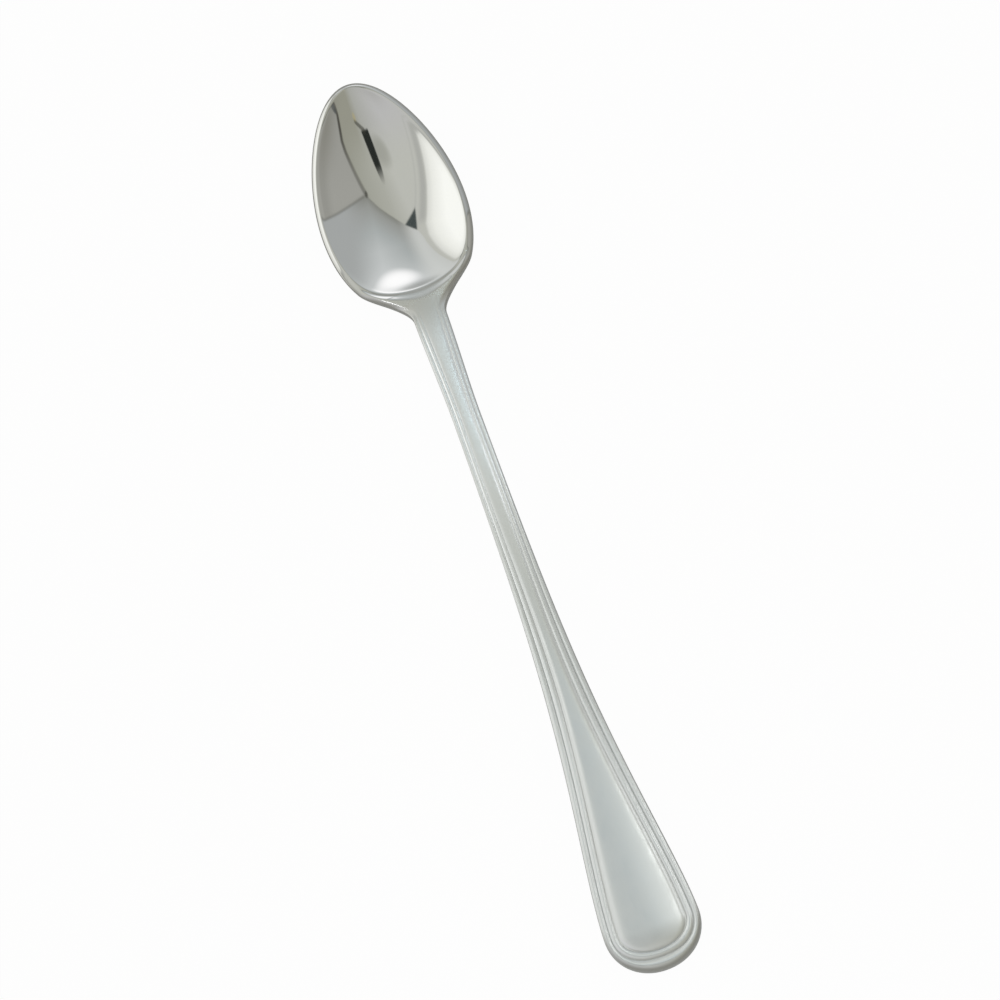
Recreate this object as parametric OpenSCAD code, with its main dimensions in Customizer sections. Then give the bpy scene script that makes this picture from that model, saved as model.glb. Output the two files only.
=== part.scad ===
// Iced tea spoon, stamped and forged from one piece of stainless steel.
//
// The spoon lies on a table at z = 0 with its hollow upwards. X runs along it, from the
// handle's end to the bowl's tip, and Y across it. The body is the space between an upper and
// a lower surface over one outline, so every height below is a function of the place along
// the spoon (x) and across it (y). Inside the code x counts from the handle's end.
//
// The steel is one piece. It is drawn as two solids that meet face to face in the neck, the
// handle and the bowl, so that the hollow bowl and the slender handle are each a simple shape.

/* [Overall] */
// Length from the handle's end to the bowl's tip
spoon_l = 192; // [170:1:215]

/* [Bowl] */
// Length of the bowl's egg-shaped outline
bowl_l = 50.4; // [44:0.2:56]
// Width of the bowl across its rim
bowl_w = 30.6; // [26:0.2:36]
// Depth of the hollow below the rim
bowl_depth = 6.3; // [5:0.1:8.5]
// Thickness of the metal at the bottom of the bowl
bowl_wall = 1.4; // [1:0.1:2]
// Width of the rim at the sides
rim_w = 1.2; // [0.9:0.1:1.8]
// Width of the rim at the tip
rim_tip = 1; // [0.7:0.1:1.4]
// Thickness of the rim
rim_t = 1.5; // [1.3:0.1:1.7]
// How far in from the edge the bevel of the rim's top reaches
bevel_w = 1.1; // [0.7:0.05:1.2]
// How far the bevel falls for each millimetre towards the edge
bevel_slope = 0.72; // [0.5:0.02:0.8]
// Radius of the rounded corner under the rim
rim_r = 0.3; // [0.2:0.05:0.3]
// Flat landing between the neck and the hollow
landing_l = 4.7; // [3:0.1:6]
// How far the tip stands above the middle of the rim
tip_rise = 0.5; // [0:0.1:1.5]
// How far along the handle the bowl's shoulders start before the bowl
shoulder_neck_l = 2.1; // [1:0.1:4]
// How far into the bowl's outline the shoulders reach
shoulder_bowl_l = 7.8; // [5.5:0.1:10]

/* [Handle outline] */
// Width of the handle at its widest, near the end
end_w = 19.8; // [16.5:0.1:24]
// Length of the rounded end
end_l = 9; // [8:0.2:13]
// Width of the shank at its narrowest
shank_w = 5.7; // [5:0.1:7.5]
// Width of the neck beside the bowl
neck_w = 6.9; // [5.6:0.1:8.5]
// Length over which the handle narrows from the end to the shank
taper_l = 38.8; // [30:0.2:48]
// Length of the flare from the shank to the neck
flare_l = 25; // [10:0.5:30]

/* [Handle pattern] */
// Width of each of the two border beads at the handle's end
bead_end_w = 1.38; // [1:0.02:1.8]
// Width of the whole border round the tip of the handle's end, where the outer bead is broader
tip_border_w = 4.1; // [3.4:0.1:4.8]
// Width of each border bead along the shank
bead_shank_w = 0.84; // [0.6:0.02:1]
// Length from the handle's end to where the beads start to narrow
bead_wide_l = 52; // [40:1:65]
// Length over which the beads narrow
bead_narrowing_l = 50; // [30:1:60]
// Height of the beads above the grooves at the handle's end. They get lower as they narrow.
bead_h = 0.38; // [0.2:0.02:0.6]
// Height of the crown of the smooth panel above its own edge
crown_h = 0.45; // [0:0.05:0.9]
// How far the handle's face falls from the panel to the outer edge
border_fall = 0.3; // [0:0.05:0.4]
// How far in from the edge the bevel round the handle's end reaches
end_bevel_w = 1.1; // [0.8:0.05:1.2]
// How far that bevel falls for each millimetre towards the edge
end_bevel_slope = 0.5; // [0.3:0.02:0.5]
// Length over which the beads fade into the neck
fade_l = 15; // [8:0.5:18]

/* [Handle thickness and arch] */
// Thickness of the handle's end, from the grooves to the back
end_t = 1.8; // [1.8:0.1:2.6]
// Thickness of the neck
neck_t = 3.3; // [2.4:0.1:4.2]
// Length of the tongue that the neck tapers into under the bowl
tongue_l = 15; // [10:0.5:22]
// Width of the slope on each side of the tongue
tongue_slope_w = 7; // [4:0.5:10]
// Radius of the rounded edges of the handle's back
back_r = 0.6; // [0.4:0.05:0.65]
// Height of the handle's face above the table at the top of its arch
arch_h = 13.5; // [11:0.5:19]
// Length from the handle's end to the top of its arch
arch_x = 92; // [75:1:100]
// Rise of the handle's end per millimetre of length
end_rise = 0.17; // [0.1:0.01:0.26]

/* [Hidden] */

// Shapes of the bowl's outline and of its hollow: how much each egg narrows towards the tip, how
// blunt the hollow's end at the neck is, and how steep the walls are at the rim
outline_lean = -0.18;
hollow_lean = -0.24;
hollow_bluntness = 0.6;
wall_steepness = 1.2;
wall_bend = 1 / (wall_steepness - 1);
edge_softness = 0.02;
bevel_softness = 0.25;
tip_outer_share = 0.65;
end_squareness = 2.08;
taper_power = 1.53;
bead_roundness = 0.8;
panel_edge_share = 3;
back_blend = 0.25 * neck_t;

// Places along the spoon, counted from the handle's end
bowl_start = spoon_l - bowl_l;
bowl_mid = spoon_l - bowl_l / 2;
shoulder_start = bowl_start - shoulder_neck_l;
shoulder_end = bowl_start + shoulder_bowl_l;
shoulder_run = shoulder_end - shoulder_start;
hollow_start = bowl_start + landing_l;
hollow_end = spoon_l - rim_tip;
hollow_mid = (hollow_start + hollow_end) / 2;
hollow_l = hollow_end - hollow_start;
hollow_w = bowl_w - 2 * rim_w;
panel_w = end_w - 4 * bead_end_w;
rim_h = bowl_depth + bowl_wall;

// Rows of the surface along the spoon and columns across it
end_rows = 10;
handle_rows = 32;
neck_rows = 6;
landing_rows = 8;
bowl_rows = 36;
border_shares = [0, 0.03, 0.1, 0.25, 0.4, 0.5, 0.6, 0.75, 0.9, 1];
back_border_shares = [0, 0.08, 0.3, 1];
inner_shares = [0.12, 0.28, 0.46, 0.64, 0.82, 1];

function clamp01(u) = max(0, min(1, u));
function smooth(u) = let (t = clamp01(u)) t * t * (3 - 2 * t);
function mix(a, b, u) = a + (b - a) * u;

// Cubic from (0, z0) to (run, z1) with the slopes m0 and m1 at its two ends
function cubic(u, run, z0, z1, m0, m1) =
    let (t = clamp01(u), left = 1 - t)
    z0 * left * left * (1 + 2 * t) + z1 * t * t * (3 - 2 * t)
    + run * (m0 * t * left * left - m1 * t * t * left);

// Height of the handle's face and of the rim above the table
function face_z(x) =
    x < arch_x ? cubic(x / arch_x, arch_x, end_t, arch_h, end_rise, 0)
    : x < bowl_mid ? cubic((x - arch_x) / (bowl_mid - arch_x), bowl_mid - arch_x, arch_h, rim_h, 0, 0)
    : rim_h + tip_rise * pow((x - bowl_mid) / (bowl_l / 2), 2);

// An egg narrows towards the tip by its lean. This gives its width there against its widest.
function egg_width(s, lean) =
    let (widest = (1 - sqrt(1 + 8 * lean * lean)) / (-4 * lean))
    (1 + lean * s) / ((1 + lean * widest) * sqrt(1 - widest * widest));

// The bowl's outline: half its width at a place, and how fast that grows
function outline_egg(x) =
    let (s = (x - bowl_mid) / (bowl_l / 2))
    bowl_w / 2 * egg_width(s, outline_lean) * sqrt(max(0, 1 - s * s));
function outline_slope(x) =
    let (
        s = (x - bowl_mid) / (bowl_l / 2),
        width = egg_width(s, outline_lean),
        growth = outline_lean * width / (1 + outline_lean * s),
        root = sqrt(1 - s * s)
    )
    bowl_w / bowl_l * (growth * root - width * s / root);

// Levels of both eggs: 1 in the middle and 0 on the outline or on the hollow's edge
function outline_level(x, y) =
    let (s = (x - bowl_mid) / (bowl_l / 2))
    1 - s * s - pow(2 * y / (bowl_w * egg_width(s, outline_lean)), 2);
function hollow_blunt(s) = 1 + hollow_bluntness * pow(min(0, max(-1, s)), 4);
function hollow_level(x, y) =
    let (s = (x - hollow_mid) / (hollow_l / 2))
    1 - s * s - pow(2 * y / (hollow_w * egg_width(s, hollow_lean)), 2) / hollow_blunt(s);
function hollow_half(x) =
    let (s = (x - hollow_mid) / (hollow_l / 2))
    hollow_w / 2 * egg_width(s, hollow_lean) * sqrt(max(0, 1 - s * s) * hollow_blunt(s));

// How much of the end's extra width is left at x
function taper(x) = exp(-pow(max(0, x - end_l) / taper_l, taper_power));

// The rounded end: the share of the full width at a distance from the end's widest place
function end_round(share) = pow(max(0, 1 - pow(clamp01(share), end_squareness)), 1 / end_squareness);

function handle_half(x) =
    (shank_w + (end_w - shank_w) * taper(x)
     + (neck_w - shank_w) * smooth((x - bowl_start + flare_l) / flare_l)) / 2;

function bead_w(x) = mix(bead_end_w, bead_shank_w, smooth((x - bead_wide_l) / bead_narrowing_l));

// Half width of the whole outline: the handle, the bowl's shoulders and the bowl's egg
function outline_half(x) =
    x <= shoulder_start ? handle_half(x) * end_round((end_l - x) / end_l)
    : x >= shoulder_end ? outline_egg(x)
    : cubic((x - shoulder_start) / shoulder_run, shoulder_run, handle_half(shoulder_start),
            outline_egg(shoulder_end), 0, outline_slope(shoulder_end));

// How far towards the end a place on the panel lies: 0 before the rounded end, 1 at its edge
function end_share(x) = clamp01((end_l - x) / (end_l - tip_border_w));

// Half width inside the border: the smooth panel on the handle, the hollow in the bowl
function panel_half(x) = (handle_half(x) - 2 * bead_w(x)) * end_round(end_share(x));
function inner_half(x) =
    x <= hollow_start ? panel_half(x)
    : x < hollow_mid ? max(panel_half(x), hollow_half(x))
    : hollow_half(x);

// 1 along the handle and 0 from the neck on
function pattern(x) = 1 - smooth((x - bowl_start + fade_l) / fade_l);

// How deep the bowl is at a level, as a share of its full depth
function bowl_share(level) = (1 + wall_bend) * level / (level + wall_bend);

function hollow_z(x, y) =
    let (
        level = hollow_level(x, y),
        raised = (level + sqrt(level * level + edge_softness * edge_softness)) / 2
    )
    x < shoulder_start ? 0 : bowl_depth * bowl_share(raised);

// A rounded bead, from its one edge at u = -1 to the other at u = 1
function bead(u) = pow(max(0, 1 - u * u), bead_roundness);

function bead_height(x) = bead_h * pow(bead_w(x) / bead_end_w, 2);

// The two beads of the border, from the outer edge at share 0 to the panel at share 1
function border_z(x, share) =
    bead_height(x) * bead((share < 0.5 ? 4 * share : 4 * share - 2) - 1) - border_fall * (1 - share);

// How far from the outer edge to the panel a share of the border lies. The outer bead takes half
// of the way along the sides, and more of it round the tip of the handle's end.
function border_way(x, share) =
    let (split = mix(0.5, tip_outer_share, pow(clamp01((end_l - x) / end_l), 4)))
    share < 0.5 ? 2 * share * split : split + (2 * share - 1) * (1 - split);

// The panel: its edge rises like a bead, and its middle is crowned where it is wide
function panel_z(x, y) =
    let (
        half = panel_half(x),
        across = half > 0 ? clamp01(abs(y) / half) : 1,
        along = end_share(x),
        edge_power = max(2, panel_edge_share * half / bead_w(x)),
        end_power = panel_edge_share * (end_l - tip_border_w) / bead_end_w,
        width_share = (handle_half(x) - 2 * bead_w(x)) / (panel_w / 2),
        crown = crown_h * width_share * width_share
    )
    bead_height(x) * (1 - pow(across, edge_power)) * (1 - pow(along, end_power))
    + crown * (1 - across * across) * (1 - along * along);

// How far the rounded edge of the back rises at a distance d from the side
function rounded(d, r) = d < r ? r - r * sqrt(1 - pow(1 - d / r, 2)) : 0;

// How far a soft bevel of width w falls at a distance d from the side
function bevel(d, w, slope) = slope * (w - d + norm([w - d, bevel_softness])) / 2;

// How much of its bevel the rim has, which starts at the bowl's shoulders, and how much of its
// own the handle's end has
function rim_share(x) = smooth((x - shoulder_start) / landing_l);
function end_bevel_share(x) = clamp01((end_l - x) / end_l);

// Thickness from the face to the back, outside the bowl's own wall: the handle, and the tongue
// that it becomes under the bowl
function body_t(x, y) =
    let (along = x < bowl_start ? mix(end_t, neck_t, smooth(x / bowl_start))
        : mix(neck_t, rim_t, smooth((x - bowl_start) / tongue_l)))
    x < shoulder_start ? along
    : mix(along, rim_t, smooth((abs(y) - handle_half(shoulder_start)) / tongue_slope_w));

function soft_max(a, b, blend) = (a + b + sqrt(pow(a - b, 2) + blend * blend)) / 2;

function back_z(x, y, d) =
    let (
        level = max(0, outline_level(x, y)),
        shell = rim_t + (rim_h - rim_t) * bowl_share(level),
        body = body_t(x, y),
        blend = back_blend * smooth((x - shoulder_start) / shoulder_run)
            * (1 - smooth((x - bowl_start) / (bowl_l / 2))),
        depth = soft_max(shell, body, blend),
        radius = mix(rim_r, back_r, pattern(x))
    )
    face_z(x) - depth + rounded(d, radius);

// Where the rows lie. Each has its own place on the outline and on the inner edge, which
// differ only in the rounded end and at the tip.
end_places = [for (i = [0:end_rows - 1])
    let (c = 1 - cos(90 * i / end_rows))
    [end_l * c, tip_border_w + (end_l - tip_border_w) * c]];
handle_places = [for (i = [0:handle_rows - 1])
    let (x = mix(end_l, bowl_start - fade_l, i / handle_rows))
    [x, x]];
neck_places = [for (i = [0:neck_rows - 1])
    let (x = mix(bowl_start - fade_l, shoulder_start, i / neck_rows))
    [x, x]];
landing_places = [for (i = [0:landing_rows - 1])
    let (x = mix(shoulder_start, hollow_start, i / landing_rows))
    [x, x]];
bowl_places = [for (i = [0:bowl_rows])
    let (c = (1 - cos(180 * i / bowl_rows)) / 2, x = hollow_start + hollow_l * c)
    [x + rim_tip * c, x]];
places = concat(end_places, handle_places, neck_places, landing_places, bowl_places);
cut_row = len(end_places) + len(handle_places) + len(neck_places);
last_row = len(places) - 1;

// One side of a row, from the outer edge to the middle, as [x, y, z] points
function face_column(row) =
    let (
        outer = [places[row][0], outline_half(places[row][0])],
        inner = [places[row][1], inner_half(places[row][1])],
        reach = norm(outer - inner)
    )
    concat(
        [for (s = border_shares)
            let (way = border_way(outer[0], s), p = mix(outer, inner, way))
            [p[0], p[1], face_z(p[0]) + pattern(p[0]) * border_z(p[0], s) - hollow_z(p[0], p[1])
             - end_bevel_share(outer[0]) * bevel(way * reach, end_bevel_w, end_bevel_slope)
             - rim_share(p[0]) * bevel(way * reach, bevel_w, bevel_slope)]],
        [for (s = inner_shares) let (x = inner[0], y = inner[1] * (1 - s))
            [x, y, face_z(x) + pattern(x) * panel_z(x, y) - hollow_z(x, y)]]
    );

function back_column(row) =
    let (
        outer = [places[row][0], outline_half(places[row][0])],
        inner = [places[row][1], inner_half(places[row][1])]
    )
    concat(
        [for (s = back_border_shares) let (p = mix(outer, inner, s))
            [p[0], p[1], back_z(p[0], p[1], norm(p - outer))]],
        [for (s = inner_shares) let (x = inner[0], y = inner[1] * (1 - s))
            [x, y, back_z(x, y, norm([x, y] - outer))]]
    );

function mirrored(column) = [for (p = column) [p[0], -p[1], p[2]]];
function backwards(column) = [for (i = [len(column) - 1:-1:0]) column[i]];
function without_first(column) = [for (i = [1:len(column) - 1]) column[i]];

// A whole row: over the face from the left edge to the right, and back underneath
face_columns = len(border_shares) + len(inner_shares);
back_columns = len(back_border_shares) + len(inner_shares);
face_points = 2 * face_columns - 1;
ring_points = face_points + 2 * back_columns - 1;
function ring(row) =
    let (face = face_column(row), back = back_column(row))
    concat(face, without_first(backwards(mirrored(face))), mirrored(back), without_first(backwards(back)));

// In the first and last rows both sides meet on the middle line, so they share their points
function column_of(j) =
    j < face_points ? min(j, face_points - 1 - j, len(border_shares) - 1)
    : face_points + min(j - face_points, ring_points - 1 - j, len(back_border_shares) - 1);
function point_id(row, j) =
    let (k = j % ring_points)
    row * ring_points + (row == 0 || row == last_row ? column_of(k) : k);
function triangle(a, b, c) = a == b || b == c || a == c ? [] : [[a, b, c]];

// The solid between two rows. A row inside the spoon is closed by a flat face.
module stretch(first, last) {
    points = [for (row = [first:last]) each ring(row)];
    skip = first * ring_points;
    sides = [for (row = [first:last - 1], j = [0:ring_points - 1])
        let (
            a = point_id(row, j) - skip,
            b = point_id(row, j + 1) - skip,
            c = point_id(row + 1, j + 1) - skip,
            d = point_id(row + 1, j) - skip
        )
        each concat(triangle(a, c, b), triangle(a, d, c))];
    first_cap = first == 0 ? [] : [[for (j = [0:ring_points - 1]) point_id(first, j) - skip]];
    last_cap = last == last_row ? [] : [[for (j = [ring_points - 1:-1:0]) point_id(last, j) - skip]];
    translate([-spoon_l / 2, 0, 0])
        polyhedron(points = points, faces = concat(sides, first_cap, last_cap), convexity = 8);
}

module handle() {
    color([0.7, 0.71, 0.71])
        stretch(0, cut_row);
}

module bowl() {
    color([0.66, 0.67, 0.68])
        stretch(cut_row, last_row);
}

handle();
bowl();
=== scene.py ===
import math

import bmesh
import bpy
from mathutils import Matrix, Vector


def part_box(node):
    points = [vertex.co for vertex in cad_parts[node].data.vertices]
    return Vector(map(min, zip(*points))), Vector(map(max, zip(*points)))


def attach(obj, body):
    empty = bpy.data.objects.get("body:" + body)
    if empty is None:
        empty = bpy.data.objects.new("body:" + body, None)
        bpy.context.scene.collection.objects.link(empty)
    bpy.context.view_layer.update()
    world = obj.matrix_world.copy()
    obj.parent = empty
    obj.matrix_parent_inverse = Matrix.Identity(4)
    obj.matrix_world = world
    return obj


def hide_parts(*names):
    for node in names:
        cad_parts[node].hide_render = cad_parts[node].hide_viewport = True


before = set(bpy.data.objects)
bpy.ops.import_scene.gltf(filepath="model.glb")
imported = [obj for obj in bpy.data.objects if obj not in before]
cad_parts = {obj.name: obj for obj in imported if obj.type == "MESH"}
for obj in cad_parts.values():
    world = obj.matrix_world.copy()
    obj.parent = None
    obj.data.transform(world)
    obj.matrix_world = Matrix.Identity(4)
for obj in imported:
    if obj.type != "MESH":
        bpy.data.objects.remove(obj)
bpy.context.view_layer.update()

# The spoon
# One piece of stainless steel, blanked from strip, forged between dies that raise its beads
# and sink its bowl, then ground round its edge and polished. It lies on the table, hollow up.

MM = 0.001
handle_low, handle_high = (Vector(corner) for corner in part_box("handle"))
bowl_low, bowl_high = (Vector(corner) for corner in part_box("bowl"))

spoon_l = bowl_high.x - handle_low.x
end_w = handle_high.y - handle_low.y
bowl_w = bowl_high.y - bowl_low.y
arch_h = 13.49 * MM
arch_x = 92 * MM
end_rise = 0.17

bowl_l = 50.4 * MM
bowl_depth = 6.3 * MM
bowl_wall = 1.4 * MM
rim_w = 1.2 * MM
rim_tip = 1 * MM
rim_t = 1.5 * MM
rim_h = bowl_depth + bowl_wall
landing_l = 4.7 * MM
tip_rise = 0.5 * MM
shoulder_neck_l = 1.7 * MM
shoulder_bowl_l = 7.8 * MM

end_l = 9 * MM
shank_w = 5.7 * MM
neck_w = 6.9 * MM
neck_l = 15 * MM
taper_l = 38.8 * MM
flare_l = 25 * MM

bead_end_w = 1.38 * MM
tip_border_w = 4.1 * MM
tip_outer_share = 0.65
bead_shank_w = 0.84 * MM
bead_wide_l = 52 * MM
bead_narrowing_l = 50 * MM
bead_h = 0.38 * MM
crown_h = 0.45 * MM
border_fall = 0.3 * MM

end_t = 1.8 * MM
neck_t = 3.3 * MM
tongue_l = 15 * MM
tongue_slope_w = 7 * MM
back_r = 0.6 * MM
end_bevel_w = 1.1 * MM
end_bevel_slope = 0.5
bevel_w = 1.1 * MM
bevel_slope = 0.72
bevel_softness = 0.25 * MM
rim_r = 0.3 * MM

# Painted shade along the edge and in the grooves; the wheel leaves the bowl's polish and finer shapes
groove_share = 0.1
# Widths of the painted shade along the edge, where the edge mirrors the shaded table
side_edge_shade_w = 0.25 * MM
end_edge_shade_w = 1.2 * MM
end_edge_shade_l = 1.3 * end_l
rim_edge_shade_w = 0.6 * MM
edge_shade_flat_share = 0.4
bowl_tone_before_l = 8 * MM
bowl_tone_l = 10 * MM
polish_l = 1.6 * landing_l
tip_bevel_w = 0.75 * MM
tip_bevel_slope = 1.0
tip_bevel_l = 7 * MM
shoulder_bevel_w = 1.45 * MM
ledge_w = 0.5 * MM
ledge_step_w = 0.9 * MM
ledge_neck_step_w = 1.7 * MM
ledge_depth = 0.32 * MM
ledge_past_l = 2 * MM
ledge_fade_l = 9 * MM
neck_crown = 0.12 * MM
bead_fade_l = 12 * MM
bead_fade_past_l = 2.5 * MM

bowl_start = spoon_l - bowl_l
bowl_mid = spoon_l - bowl_l / 2
shoulder_start = bowl_start - shoulder_neck_l
shoulder_end = bowl_start + shoulder_bowl_l
shoulder_run = shoulder_end - shoulder_start
hollow_start = bowl_start + landing_l
hollow_l = spoon_l - rim_tip - hollow_start
hollow_mid = hollow_start + hollow_l / 2
hollow_w = bowl_w - 2 * rim_w
panel_w = end_w - 4 * bead_end_w

outline_lean = -0.18
hollow_lean = -0.24
hollow_bluntness = 0.6
bluntness_power = 4
wall_steepness = 1.2
wall_bend = 1 / (wall_steepness - 1)
edge_softness = 0.02
end_squareness = 2.08
taper_power = 1.53
bead_roundness = 0.8
outer_bead_power = 4
panel_edge_share = 3
back_blend = 0.25 * neck_t
slope_step = 0.05 * MM
least_slope = 1
tiny = 1e-9


def clamp01(u):
    return max(0.0, min(1.0, u))


def smooth(u):
    t = clamp01(u)
    return t * t * (3 - 2 * t)


def mix(a, b, u):
    return a + (b - a) * u


def cubic(u, run, z0, z1, m0, m1):
    """A curve over a run, from height z0 with slope m0 to height z1 with slope m1."""
    t = clamp01(u)
    rest = 1 - t
    heights = z0 * rest * rest * (1 + 2 * t) + z1 * t * t * (3 - 2 * t)
    return heights + run * (m0 * t * rest * rest - m1 * t * t * rest)


def face_height(x):
    """Height of the handle's face and of the rim above the table."""
    if x < arch_x:
        return cubic(x / arch_x, arch_x, end_t, arch_h, end_rise, 0)
    if x < bowl_mid:
        run = bowl_mid - arch_x
        return cubic((x - arch_x) / run, run, arch_h, rim_h, 0, 0)
    return rim_h + tip_rise * ((x - bowl_mid) / (bowl_l / 2)) ** 2


def egg_width(s, lean):
    """Width of an egg that narrows towards the tip by its lean, against its widest."""
    widest = (1 - math.sqrt(1 + 8 * lean * lean)) / (-4 * lean)
    return (1 + lean * s) / ((1 + lean * widest) * math.sqrt(1 - widest * widest))


def outline_egg(x):
    s = (x - bowl_mid) / (bowl_l / 2)
    return bowl_w / 2 * egg_width(s, outline_lean) * math.sqrt(max(0.0, 1 - s * s))


def outline_slope(x):
    s = (x - bowl_mid) / (bowl_l / 2)
    width = egg_width(s, outline_lean)
    growth = outline_lean * width / (1 + outline_lean * s)
    root = math.sqrt(1 - s * s)
    return bowl_w / bowl_l * (growth * root - width * s / root)


def outline_level(x, y):
    s = (x - bowl_mid) / (bowl_l / 2)
    return 1 - s * s - (2 * y / (bowl_w * egg_width(s, outline_lean))) ** 2


def hollow_blunt(s):
    return 1 + hollow_bluntness * min(0.0, max(-1.0, s)) ** bluntness_power


def hollow_level(x, y):
    s = (x - hollow_mid) / (hollow_l / 2)
    return 1 - s * s - (2 * y / (hollow_w * egg_width(s, hollow_lean))) ** 2 / hollow_blunt(s)


def hollow_half(x):
    s = (x - hollow_mid) / (hollow_l / 2)
    return hollow_w / 2 * egg_width(s, hollow_lean) * math.sqrt(max(0.0, 1 - s * s) * hollow_blunt(s))


def end_round(share):
    return max(0.0, 1 - clamp01(share) ** end_squareness) ** (1 / end_squareness)


def handle_half(x):
    taper = math.exp(-(max(0.0, x - end_l) / taper_l) ** taper_power)
    flare = smooth((x - bowl_start + flare_l) / flare_l)
    return (shank_w + (end_w - shank_w) * taper + (neck_w - shank_w) * flare) / 2


def bead_w(x):
    return mix(bead_end_w, bead_shank_w, smooth((x - bead_wide_l) / bead_narrowing_l))


def outline_half(x):
    """Half width of the outline: the handle, the bowl's shoulders and the bowl's egg."""
    if x <= shoulder_start:
        return handle_half(x) * end_round((end_l - x) / end_l)
    if x >= shoulder_end:
        return outline_egg(x)
    return cubic((x - shoulder_start) / shoulder_run, shoulder_run, handle_half(shoulder_start),
                 outline_egg(shoulder_end), 0, outline_slope(shoulder_end))


def end_share(x):
    return clamp01((end_l - x) / (end_l - tip_border_w))


def panel_half(x):
    return (handle_half(x) - 2 * bead_w(x)) * end_round(end_share(x))


def inner_half(x):
    """Half width inside the border: the smooth panel on the handle, the hollow in the bowl."""
    if x <= hollow_start:
        return panel_half(x)
    return max(panel_half(x), hollow_half(x)) if x < hollow_mid else hollow_half(x)


def pattern(x):
    """How much of the beads and the panel is there: 1 along the handle, 0 from the shoulders on."""
    return 1 - smooth((x - bowl_start - bead_fade_past_l + bead_fade_l) / bead_fade_l)


def bowl_share(level):
    return (1 + wall_bend) * level / (level + wall_bend)


def hollow_depth(x, y):
    if x < shoulder_start:
        return 0.0
    level = hollow_level(x, y)
    starting = smooth((x - shoulder_start) / landing_l)
    return starting * bowl_depth * bowl_share((level + math.hypot(level, edge_softness)) / 2)


def ledge_fall(x, y):
    """How far the hollow and a narrow ledge round its end at the neck lie below the rim."""
    ending = hollow_start + ledge_past_l
    if x < shoulder_start - landing_l or x > ending + ledge_fade_l:
        return 0.0
    step = slope_step
    along = (hollow_level(x + step, y) - hollow_level(x - step, y)) / (2 * step)
    across = (hollow_level(x, y + step) - hollow_level(x, y - step)) / (2 * step)
    away = -hollow_level(x, y) / max(math.hypot(along, across), least_slope)
    step_w = mix(ledge_neck_step_w, ledge_step_w, smooth(abs(y) / neck_w))
    past_ledge = smooth((away - ledge_w) / step_w)
    return ledge_depth * (1 - past_ledge) * (1 - smooth((x - ending) / ledge_fade_l))


def bead(u):
    return max(0.0, 1 - u * u) ** bead_roundness


def outer_share(along):
    """The outer bead's share of the border, which grows round the handle's end."""
    return mix(0.5, tip_outer_share, clamp01(along) ** outer_bead_power)


def bevel(d, w, slope):
    """How far a soft bevel of width w falls at a distance d from the side."""
    return slope * (w - d + math.hypot(w - d, bevel_softness)) / 2


def rim_share(x):
    return smooth((x - shoulder_start) / landing_l)


def bead_height(x):
    return bead_h * (bead_w(x) / bead_end_w) ** 2


def border_height(x, share):
    """The two beads of the border, from the outer edge at share 0 to the panel at share 1."""
    across_bead = (4 * share if share < 0.5 else 4 * share - 2) - 1
    return bead_height(x) * bead(across_bead) - border_fall * (1 - share)


def panel_height(x, y):
    half = panel_half(x)
    across = clamp01(abs(y) / half) if half > tiny else 1.0
    along = end_share(x)
    edge_power = max(2.0, panel_edge_share * half / bead_w(x))
    end_power = panel_edge_share * (end_l - tip_border_w) / bead_end_w
    width_share = (handle_half(x) - 2 * bead_w(x)) / (panel_w / 2)
    edge = bead_height(x) * (1 - across ** edge_power) * (1 - along ** end_power)
    return edge + crown_h * width_share ** 2 * (1 - across * across) * (1 - along * along)


def rounded(d, w, h):
    """How far a rounded edge falls at a distance d from the side, where its whole fall is h over w."""
    return h - h * math.sqrt(1 - (1 - d / w) ** 2) if d < w else 0.0


def body_thickness(x, y):
    if x < bowl_start:
        along = mix(end_t, neck_t, smooth(x / bowl_start))
    else:
        along = mix(neck_t, rim_t, smooth((x - bowl_start) / tongue_l))
    if x < shoulder_start:
        return along
    return mix(along, rim_t, smooth((abs(y) - handle_half(shoulder_start)) / tongue_slope_w))


def back_height(x, y, d):
    level = max(0.0, outline_level(x, y))
    shell = rim_t + (rim_h - rim_t) * bowl_share(level)
    body = body_thickness(x, y)
    blend = back_blend * smooth((x - shoulder_start) / shoulder_run)
    blend *= 1 - smooth((x - bowl_start) / (bowl_l / 2))
    depth = (shell + body + math.hypot(shell - body, blend)) / 2
    radius = mix(rim_r, back_r, pattern(x))
    return bowl_low.z + face_height(x) - depth + rounded(d, radius, radius)


def face_point(outer, inner, share, across):
    """A point of the face: in the border by its share, and inside it by its way to the middle."""
    if across is None:
        split = outer_share(1 - outer[0] / end_l)
        way = 2 * share * split if share < 0.5 else split + (2 * share - 1) * (1 - split)
        x, y = outer[0] + (inner[0] - outer[0]) * way, outer[1] + (inner[1] - outer[1]) * way
        away = way * math.dist(outer, inner)
        rim_bevel_w = mix(shoulder_bevel_w, bevel_w, smooth((x - bowl_start) / (2 * shoulder_bowl_l)))
        relief = pattern(x) * border_height(x, share) - (1 - pattern(x)) * rounded(away, rim_r, rim_r)
        relief -= clamp01((end_l - outer[0]) / end_l) * bevel(away, end_bevel_w, end_bevel_slope)
        at_tip = smooth((x - spoon_l + tip_bevel_l) / tip_bevel_l)
        relief -= rim_share(x) * mix(bevel(away, rim_bevel_w, bevel_slope),
                                     bevel(away, tip_bevel_w, tip_bevel_slope), at_tip)
    else:
        x, y = inner[0], inner[1] * (1 - across)
        relief = pattern(x) * panel_height(x, y)
    near_neck = smooth((x - bowl_start + 2 * neck_l) / neck_l)
    near_neck *= 1 - smooth((x - bowl_start) / landing_l)
    crown = neck_crown * near_neck * min(1.0, (y / (neck_w / 2)) ** 2)
    return x, y, bowl_low.z + face_height(x) + relief - crown - ledge_fall(x, y) - hollow_depth(x, y)


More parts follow.
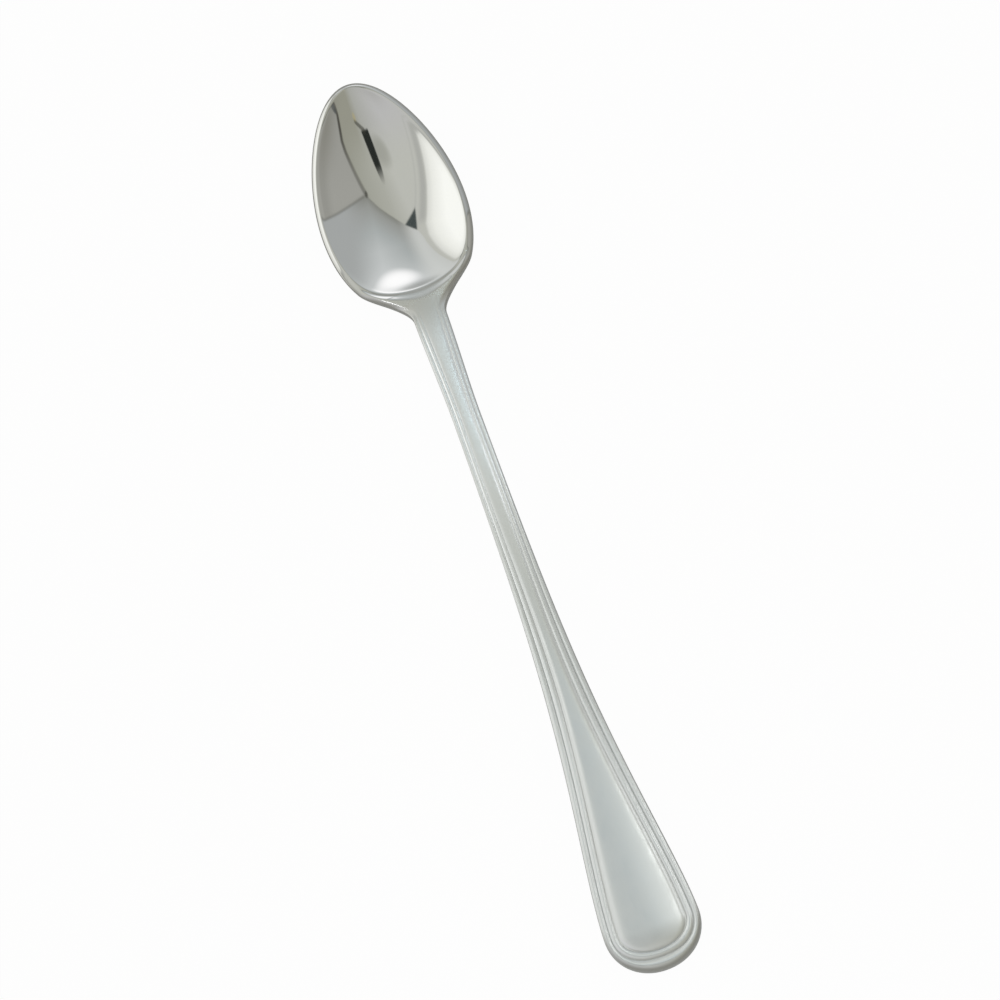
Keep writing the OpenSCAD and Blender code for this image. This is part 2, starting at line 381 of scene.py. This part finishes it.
def back_point(outer, inner, share, across):
    if across is None:
        x, y = outer[0] + (inner[0] - outer[0]) * share, outer[1] + (inner[1] - outer[1]) * share
    else:
        x, y = inner[0], inner[1] * (1 - across)
    return x, y, back_height(x, y, math.dist((x, y), outer))


def spread(count, start, end):
    return [mix(start, end, i / count) for i in range(count)]


def spread_eased(count, start, end):
    """Places from start to end that lie closer together at both ends."""
    return [mix(start, end, (1 - math.cos(math.pi * i / count)) / 2) for i in range(count)]


# Rows along the spoon, each with its place on the outline and on the inner edge
end_rows = 48
handle_rows = 150
neck_rows = 70
bowl_rows = 190
rows = [(end_l * c, tip_border_w + (end_l - tip_border_w) * c)
        for c in (1 - math.cos(math.pi / 2 * i / end_rows) for i in range(end_rows))]
rows += [(x, x) for x in spread(handle_rows, end_l, bowl_start - neck_l)]
rows += [(x, x) for x in spread(neck_rows, bowl_start - neck_l, hollow_start)]
rows += [(x + rim_tip * (x - hollow_start) / hollow_l, x)
         for x in spread_eased(bowl_rows, hollow_start, hollow_start + hollow_l)]
rows.append((spoon_l, spoon_l - rim_tip))

# Columns round half a section, from the middle of the face to the middle of the back
bead_steps = 12
panel_steps = 26
panel_bunching = 1.5
back_edge_steps = 8
back_steps = 18
bead_shares = [(1 - math.cos(math.pi * i / bead_steps)) / 4 for i in range(bead_steps)]
border_shares = bead_shares + [0.5 + share for share in bead_shares] + [1.0]
half_section = [("face", None, 1 - (1 - i / panel_steps) ** panel_bunching)
                for i in range(panel_steps, 0, -1)]
half_section += [("face", share, None) for share in reversed(border_shares)]
half_section += [("back", (i / back_edge_steps) ** 2, None) for i in range(back_edge_steps + 1)]
half_section += [("back", None, i / back_steps) for i in range(1, back_steps + 1)]


def section_point(row, column, side):
    part, share, across = half_section[column]
    outer = (rows[row][0], outline_half(rows[row][0]))
    inner = (rows[row][1], inner_half(rows[row][1]))
    place = face_point if part == "face" else back_point
    x, y, z = place(outer, inner, share, across)
    return Vector((x - spoon_l / 2, side * y, z))


same_place = 0.002 * MM
too_short = 0.001 * MM
bm = bmesh.new()
last_row = len(rows) - 1
last_column = len(half_section) - 1
bmesh.ops.create_grid(bm, x_segments=last_row, y_segments=2 * last_column, size=1)
bowl_layer = bm.verts.layers.float.new("bowl")
polish_layer = bm.verts.layers.float.new("polish")
groove_layer = bm.verts.layers.float.new("groove")
edge_shade_layer = bm.verts.layers.float.new("edge")
for vert in bm.verts:
    row = round((vert.co.x + 1) / 2 * last_row)
    column = round((vert.co.y + 1) * last_column) - last_column
    vert.co = section_point(row, abs(column), 1 if column < 0 else -1)
    x = vert.co.x + spoon_l / 2
    part, share = half_section[abs(column)][:2]
    vert[bowl_layer] = smooth((x - bowl_start + bowl_tone_before_l) / bowl_tone_l)
    vert[polish_layer] = smooth((x - bowl_start) / polish_l)
    # Painted shade along the outline, on the face near the edge and round the back's edge
    edge_shade_w = mix(side_edge_shade_w, end_edge_shade_w, clamp01((end_edge_shade_l - x) / end_l))
    edge_shade_w = mix(edge_shade_w, rim_edge_shade_w, smooth((x - bowl_start) / landing_l))
    if part == "back" and share is not None:
        vert[edge_shade_layer] = 1 - smooth(share * rim_w / edge_shade_w)
    if part == "face" and share is not None:
        away = math.dist((x, abs(vert.co.y)), (rows[row][0], outline_half(rows[row][0])))
        vert[edge_shade_layer] = 1 - smooth((away - edge_shade_flat_share * edge_shade_w) / edge_shade_w)
        from_groove = min(abs(share - 0.5), 1 - share)
        vert[groove_layer] = pattern(x) * max(0.0, 1 - from_groove / groove_share) ** 2
bmesh.ops.remove_doubles(bm, verts=bm.verts, dist=same_place)
bmesh.ops.dissolve_degenerate(bm, edges=bm.edges, dist=too_short)
bmesh.ops.recalc_face_normals(bm, faces=bm.faces)
for face in bm.faces:
    face.smooth = True
spoon_mesh = bpy.data.meshes.new("spoon")
bm.to_mesh(spoon_mesh)
bm.free()
spoon = bpy.data.objects.new("spoon", spoon_mesh)
bpy.context.scene.collection.objects.link(spoon)


class Wire:
    """A socket of a shader, on which Python's operators build Math nodes."""

    def __init__(self, tree, socket=None):
        self.tree = tree
        self.socket = socket

    def node(self, kind, settings=None, inputs=None, output=0):
        made = self.tree.nodes.new(kind)
        for name, value in (settings or {}).items():
            if name == "stops":
                elements = made.color_ramp.elements
                while len(elements) < len(value):
                    elements.new(1)
                for element, (place, shade) in zip(elements, value):
                    element.position = place
                    element.color = (*shade, 1) if isinstance(shade, tuple) else (shade, shade, shade, 1)
            else:
                setattr(made, name, value)
        for name, value in (inputs or {}).items():
            if isinstance(value, Wire):
                self.tree.links.new(value.socket, made.inputs[name])
            else:
                made.inputs[name].default_value = value
        return Wire(self.tree, made.outputs[output])

    def math(self, operation, *values):
        return self.node("ShaderNodeMath", {"operation": operation}, dict(enumerate(values)))

    def __add__(self, other):
        return self.math("ADD", self, other)

    def __sub__(self, other):
        return self.math("SUBTRACT", self, other)

    def __mul__(self, other):
        return self.math("MULTIPLY", self, other)

    def __truediv__(self, other):
        return self.math("DIVIDE", self, other)

    def __pow__(self, other):
        return self.math("POWER", self, other)

    def __rsub__(self, other):
        return self.math("SUBTRACT", other, self)

    __radd__ = __add__
    __rmul__ = __mul__

    def blend(self, low, high):
        """From one colour to another as this wire goes from 0 to 1."""
        return self.node("ShaderNodeMix", {"data_type": "RGBA"}, {0: self, 6: low, 7: high}, 2)

    def step(self, low, high):
        """0 below low, 1 above high, and smooth between them."""
        return self.node("ShaderNodeMapRange", {"interpolation_type": "SMOOTHSTEP"},
                         {"Value": self, "From Min": low, "From Max": high})


def linear(colour):
    """A screen's colour, from 0 to 255, as amounts of light. Its curve is straight in the darks."""
    return tuple((c / 255 / 12.92) if c < 10.3 else ((c / 255 + 0.055) / 1.055) ** 2.4 for c in colour)


# The bowl is mirror-bright, the handle has the soft lines of a finishing wheel along it, and the
# wheel doesn't reach into its grooves, which stay rougher and are painted darker as painted shade
bowl_steel = (0.55, 0.56, 0.555)
# Painted light: the handle's steel is lighter and bluer than the bowl's, so that the satin handle looks
# more brightly lit
lit_handle_steel = (0.725, 0.755, 0.775)
# A darker steel for painted shade in the grooves and for the steel's random clouds
cloud_and_groove_shade_steel = (0.6, 0.6, 0.57)
# Painted shade: a dark steel laid along the edges, where they mirror the shaded table
edge_shade_steel = (0.25, 0.25, 0.235)
edge_shade_tint = 0.55
groove_shade_tint = 0.45
cloud_tint = 0.12
cloud_scale = 260.0
line_scale = (90, 3600, 3600)
bowl_roughness = 0.05
handle_roughness = 0.33
groove_rougher = 0.08
bowl_clouds = 0.02
handle_clouds = 0.1
bowl_lines = 0.01
handle_lines = 0.12
line_depth = 0.003 * MM
line_strength = 0.12

steel = bpy.data.materials.new("polished_steel")
steel.use_nodes = True
shader = steel.node_tree.nodes["Principled BSDF"]
shader.inputs["Metallic"].default_value = 1
start = Wire(steel.node_tree)
place = start.node("ShaderNodeTexCoord", output="Object")
in_bowl = start.node("ShaderNodeAttribute", {"attribute_name": "bowl"}, output="Fac")
polish = start.node("ShaderNodeAttribute", {"attribute_name": "polish"}, output="Fac")
groove = start.node("ShaderNodeAttribute", {"attribute_name": "groove"}, output="Fac")
edge = start.node("ShaderNodeAttribute", {"attribute_name": "edge"}, output="Fac")
cloudy = start.node("ShaderNodeTexNoise", {}, {"Vector": place, "Scale": cloud_scale, "Detail": 3.0})
along_handle = start.node("ShaderNodeMapping", {}, {"Vector": place, "Scale": line_scale})
lines = start.node("ShaderNodeTexNoise", {}, {"Vector": along_handle, "Scale": 1.0, "Detail": 2.0})
# Painted light: from the bowl towards the handle the base goes over to the lighter handle steel
base = in_bowl.blend((*lit_handle_steel, 1), (*bowl_steel, 1))
# Painted shade along the edges
base = (edge * edge_shade_tint).blend(base, (*edge_shade_steel, 1))
# Painted shade: the grooves are darkened
base = (groove * groove_shade_tint).blend(base, (*cloud_and_groove_shade_steel, 1))
base = (cloudy * cloud_tint).blend(base, (*cloud_and_groove_shade_steel, 1))
steel.node_tree.links.new(base.socket, shader.inputs["Base Color"])
roughness = handle_roughness + polish * (bowl_roughness - handle_roughness) + groove * groove_rougher
roughness = roughness + (cloudy - 0.5) * (handle_clouds + polish * (bowl_clouds - handle_clouds))
roughness = roughness + (lines - 0.5) * (handle_lines + polish * (bowl_lines - handle_lines))
steel.node_tree.links.new(roughness.socket, shader.inputs["Roughness"])
bump = start.node("ShaderNodeBump", {}, {"Strength": line_strength, "Distance": line_depth,
                                         "Height": lines * (1 - polish)})
steel.node_tree.links.new(bump.socket, shader.inputs["Normal"])
spoon_mesh.materials.append(steel)

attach(spoon, "root")
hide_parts("handle", "bowl")

# The table
# A plain white table top under the spoon. The camera sees it clean white, and the steel mirrors it
# mostly as the tent lights it.

table_size = 6.0
table_grey = 0.72
table_roughness = 0.6
table_glow = 0.97
glow_in_steel = 0.1
bm = bmesh.new()
bmesh.ops.create_grid(bm, x_segments=1, y_segments=1, size=table_size / 2)
table_mesh = bpy.data.meshes.new("table")
bm.to_mesh(table_mesh)
bm.free()
table = bpy.data.objects.new("table", table_mesh)
bpy.context.scene.collection.objects.link(table)
white = bpy.data.materials.new("white_table")
white.use_nodes = True
start = Wire(white.node_tree)
paint = white.node_tree.nodes["Principled BSDF"]
paint.inputs["Base Color"].default_value = (table_grey, table_grey, table_grey, 1)
paint.inputs["Roughness"].default_value = table_roughness
glow = start.node("ShaderNodeEmission", {}, {"Strength": 1})
camera_ray = start.node("ShaderNodeLightPath", output="Is Camera Ray")
glossy_ray = start.node("ShaderNodeLightPath", output="Is Glossy Ray")
clear_ray = start.node("ShaderNodeLightPath", output="Is Transmission Ray")
seen = start.math("MAXIMUM", start.math("MAXIMUM", camera_ray, clear_ray), glossy_ray * glow_in_steel)
painted = Wire(white.node_tree, paint.outputs[0])
surface = start.node("ShaderNodeMixShader", {}, {0: seen * table_glow, 1: painted, 2: glow})
white.node_tree.links.new(surface.socket, white.node_tree.nodes["Material Output"].inputs["Surface"])
table_mesh.materials.append(white)

# The light tent
# Four sheets of white cloth hang round and over the table and are lit from outside. They meet in
# seams, the left one is the brightest, and the camera looks in through a slot over the spoon.

tent = bpy.data.worlds.new("light_tent")
bpy.context.scene.world = tent
tent.use_nodes = True
start = Wire(tent.node_tree)
direction = start.node("ShaderNodeTexCoord", output="Generated")
east = start.node("ShaderNodeSeparateXYZ", {}, {0: direction}, "X")
north = start.node("ShaderNodeSeparateXYZ", {}, {0: direction}, "Y")
height = start.node("ShaderNodeSeparateXYZ", {}, {0: direction}, "Z")
not_zero = 0.0001
flat = start.math("MAXIMUM", (east * east + north * north) ** 0.5, not_zero)
# Degrees from straight up: ahead is towards the bowl's tip, and left is across the spoon
from_top = start.math("ARCTAN2", flat, height) * math.degrees(1)
ahead = from_top * east / flat
left = from_top * north / flat

full_light = 2.0
seam_range = 200


def cloth(r, g, b):
    """The light of a piece of cloth that shows in the bowl as this colour."""
    return tuple(light / metal / full_light for light, metal in zip(linear((r, g, b)), bowl_steel))


def curve(along, points):
    """Where a seam lies, in degrees, against another direction."""
    first, last = points[0][0], points[-1][0]
    stops = [((at - first) / (last - first), value / seam_range + 0.5) for at, value in points]
    line = along.node("ShaderNodeValToRGB", {"stops": stops}, {0: (along - first) / (last - first)})
    return (line - 0.5) * seam_range


def shades(along, points):
    """Colours of a sheet of cloth against a direction in degrees."""
    first, last = points[0][0], points[-1][0]
    stops = [((at - first) / (last - first), cloth(*shade)) for at, shade in points]
    return along.node("ShaderNodeValToRGB", {"stops": stops}, {0: (along - first) / (last - first)})


def stripe(away, width, soft):
    """1 on a line and 0 beyond its width."""
    return 1 - away.math("ABSOLUTE", away).step(width - soft, width + soft)


front_edge = curve(left, [(-90, 16), (-25, 10.5), (9, 36.5), (19, 43), (29, 68), (33, 90)])
right_edge = curve(ahead, [(-60, -50), (-38, -43.5), (-22, -44.5), (-16, -42), (10, -25), (20, -20)])
left_edge = curve(ahead, [(-40, 108), (3, 62.5), (20, 44), (40, 25), (48, 22), (64, 27), (90, 33)])

roof = shades(left, [(-40, (151, 152, 141)), (0, (168, 169, 160)), (20, (184, 185, 178))])
far_roof = shades(left, [(-12, (147, 147, 135)), (2, (165, 166, 160)), (45, (182, 182, 181))])
front = shades(ahead - front_edge, [(0, (128, 129, 122)), (6, (148, 150, 146)), (22, (166, 171, 170)),
                                    (50, (200, 203, 203))])
right = shades(ahead, [(-90, (142, 142, 137)), (5, (156, 156, 150))])
right = from_top.step(70, 90).blend(right, (*cloth(142, 142, 136), 1))
bright = shades(left - left_edge, [(0, (196, 197, 191)), (14, (232, 233, 227)), (30, (247, 248, 243))])
roof = (1 - ahead.step(-34, 2)).blend(roof, far_roof)
front = (1 - left.step(-62, -22)).blend(front, (*cloth(161, 164, 163), 1))
front = (left.step(0, 17) * 0.8).blend(front, (*cloth(203, 205, 202), 1))

in_right = (right_edge - left).step(-1, 1)
in_front = (ahead - front_edge).step(-0.8, 0.8)
in_left = (left - left_edge).step(3, 7)
sheet = in_right.blend(roof, right)
sheet = in_front.blend(sheet, front)


def patch(at_ahead, at_left, length, width, turn, soft=1.0):
    """A soft oval patch that lies along a line turned from straight ahead towards the left."""
    away = ahead - at_ahead
    aside = left - at_left
    along = (away * math.cos(turn) + aside * math.sin(turn)) / length
    across = (aside * math.cos(turn) - away * math.sin(turn)) / width
    return 1 - (along * along + across * across).step(1 - soft, 1)


def shape(corners, soft=1.0):
    """The inside of a shape with straight sides, whose corners go round to the left."""
    mask = None
    for (ahead_1, left_1), (ahead_2, left_2) in zip(corners, corners[1:] + corners[:1]):
        run = math.dist((ahead_1, left_1), (ahead_2, left_2))
        inward = ((ahead - ahead_1) * (left_1 - left_2) + (left - left_1) * (ahead_2 - ahead_1)) / run
        edge = inward.step(-soft, soft)
        mask = edge if mask is None else mask * edge
    return mask


# A lamp outside lights up the front sheet low down, and the roof is in shade beside the slot
glow_patch = patch(71.5, -14, 22, 13, math.radians(68))
sheet = (glow_patch * in_front).blend(sheet, (*cloth(252, 252, 252), 1))
sheet = (patch(-9, 17, 13, 15, 0) * 0.75).blend(sheet, (*cloth(150, 151, 142), 1))
sheet = in_left.blend(sheet, bright)

# The seams
right_seam = stripe(left - right_edge, 2.4, 1.6) * (1 - (ahead - 9).step(0, 4))
right_seam = right_seam * (1 - ahead.step(-34, 0) * 0.45)
sheet = right_seam.blend(sheet, (*cloth(72, 71, 65), 1))
sheet = (patch(10.4, -24.5, 2.6, 2.6, 0) * 0.8).blend(sheet, (*cloth(70, 70, 64), 1))
sheet = patch(-46, -53, 12, 4, math.radians(49), 0.5).blend(sheet, (*cloth(40, 50, 58), 1))
front_seam = stripe(ahead - front_edge, 0.8, 0.7) * (1 - (left + 26).step(-4, 2)) * 0.5
sheet = front_seam.blend(sheet, (*cloth(95, 95, 88), 1))
left_seam = stripe(left - left_edge, 4, 3) * (1 - ahead.step(34, 42))
sheet = left_seam.blend(sheet, (*cloth(169, 170, 165), 1))
second_fold = stripe(left - left_edge + 10, 1.2, 1.1) * (1 - ahead.step(26, 36)) * 0.5
sheet = second_fold.blend(sheet, (*cloth(172, 173, 168), 1))

# The slot for the camera, its open flap and a gap at the front seam
slot = shape([(-24, 10.5), (-24, -3.5), (0, -1), (9, 1.5), (9, 4.5), (0, 8)]) * (1 - ahead.step(-3, 11))
sheet = slot.blend(sheet, (*cloth(40, 43, 40), 1))
flap = shape([(-21, 3), (-25, 5), (-33, -10), (-30, -11)], 0.8) * 0.7
sheet = flap.blend(sheet, (*cloth(60, 60, 52), 1))
sheet = (patch(-34, -8, 4, 4, 0) * 0.6).blend(sheet, (*cloth(170, 160, 120), 1))
gap = shape([(36.5, 8.5), (42.5, 18.3), (27.5, 26.8)], 0.9)
sheet = gap.blend(sheet, (*cloth(66, 73, 72), 1))

# The sheets hang in their own shade low down behind the handle and beyond the bowl's tip
behind = from_top.step(50, 80) * (1 - (ahead + left * 0.2).step(-50, -15)) * 0.95
sheet = behind.blend(sheet, (*cloth(131, 130, 122), 1))
beyond = ahead.step(80, 88) * 0.8
sheet = beyond.blend(sheet, (*cloth(120, 122, 118), 1))

camera_ray = start.node("ShaderNodeLightPath", output="Is Camera Ray")
sheet = camera_ray.blend(sheet, (1 / full_light, 1 / full_light, 1 / full_light, 1))
background = tent.node_tree.nodes["Background"]
background.inputs["Strength"].default_value = full_light
tent.node_tree.links.new(sheet.socket, background.inputs["Color"])

# The strip lamps
# Seven soft lamps with grids hang beside the camera's view and light the satin handle, its neck
# and the left shoulder. Their grids keep them out of the bowl.


def strip_lamp(name, place, aim, length, width, opening, power, colour=(1, 1, 1)):
    """A soft lamp, long side along the spoon, whose grid lets its light out in a cone of degrees."""
    data = bpy.data.lights.new(name, "AREA")
    data.shape = "RECTANGLE"
    data.size = length
    data.size_y = width
    data.energy = power
    data.color = colour
    data.spread = math.radians(opening)
    lamp = bpy.data.objects.new(name, data)
    bpy.context.scene.collection.objects.link(lamp)
    facing = (Vector(place) - Vector(aim)).normalized()
    long_side = (Vector((1, 0, 0)) - facing * facing.x).normalized()
    lamp.matrix_world = Matrix((long_side, facing.cross(long_side), facing)).transposed().to_4x4()
    lamp.location = place
    lamp.visible_camera = False


strip_lamp("left_strip", (-0.07, 0.085, 0.19), (-0.085, 0, 0.01), 0.14, 0.07, 44, 0.0009)
strip_lamp("middle_strip", (-0.095, 0.0, 0.2), (-0.07, 0, 0.01), 0.13, 0.08, 44, 0.0008, (0.76, 0.9, 1))
strip_lamp("right_strip", (-0.112, -0.07, 0.195), (-0.092, 0, 0.01), 0.07, 0.05, 36, 0.00085)
strip_lamp("low_right_strip", (-0.098, -0.16, 0.11), (-0.085, 0, 0.01), 0.08, 0.08, 36, 0.0012)
strip_lamp("shank_strip", (0.07, -0.085, 0.165), (-0.006, 0, 0.0135), 0.04, 0.06, 26, 0.0005)
strip_lamp("neck_lamp", (0.1155, -0.026, 0.198), (0.0245, 0, 0.013), 0.03, 0.02, 14, 0.00006,
           (0.7, 0.9, 1))
strip_lamp("shoulder_lamp", (-0.004, 0.0775, 0.101), (0.04, 0.011, 0.012), 0.018, 0.018, 12, 0.00006)

# The camera
# A long lens high over the handle's end of the table, held askew so that the spoon leans.

elevation = math.radians(78)
lean = math.radians(19.98)
distance = 1.1
target = Vector((3.86 * MM, -0.59 * MM, 6 * MM))
outward = Vector((-math.cos(elevation), 0, math.sin(elevation)))
along = Vector((math.sin(elevation), 0, math.cos(elevation)))
across = Vector((0, -1, 0))
right_side = across * math.cos(lean) - along * math.sin(lean)
up_side = across * math.sin(lean) + along * math.cos(lean)
camera_data = bpy.data.cameras.new("camera")
camera_data.sensor_width = 36
camera_data.lens = 197.1
camera_data.clip_start = 0.05
camera = bpy.data.objects.new("camera", camera_data)
bpy.context.scene.collection.objects.link(camera)
camera.matrix_world = Matrix((right_side, up_side, outward)).transposed().to_4x4()
camera.location = target + outward * distance
bpy.context.scene.camera = camera
bpy.context.scene.view_settings.view_transform = "Standard"
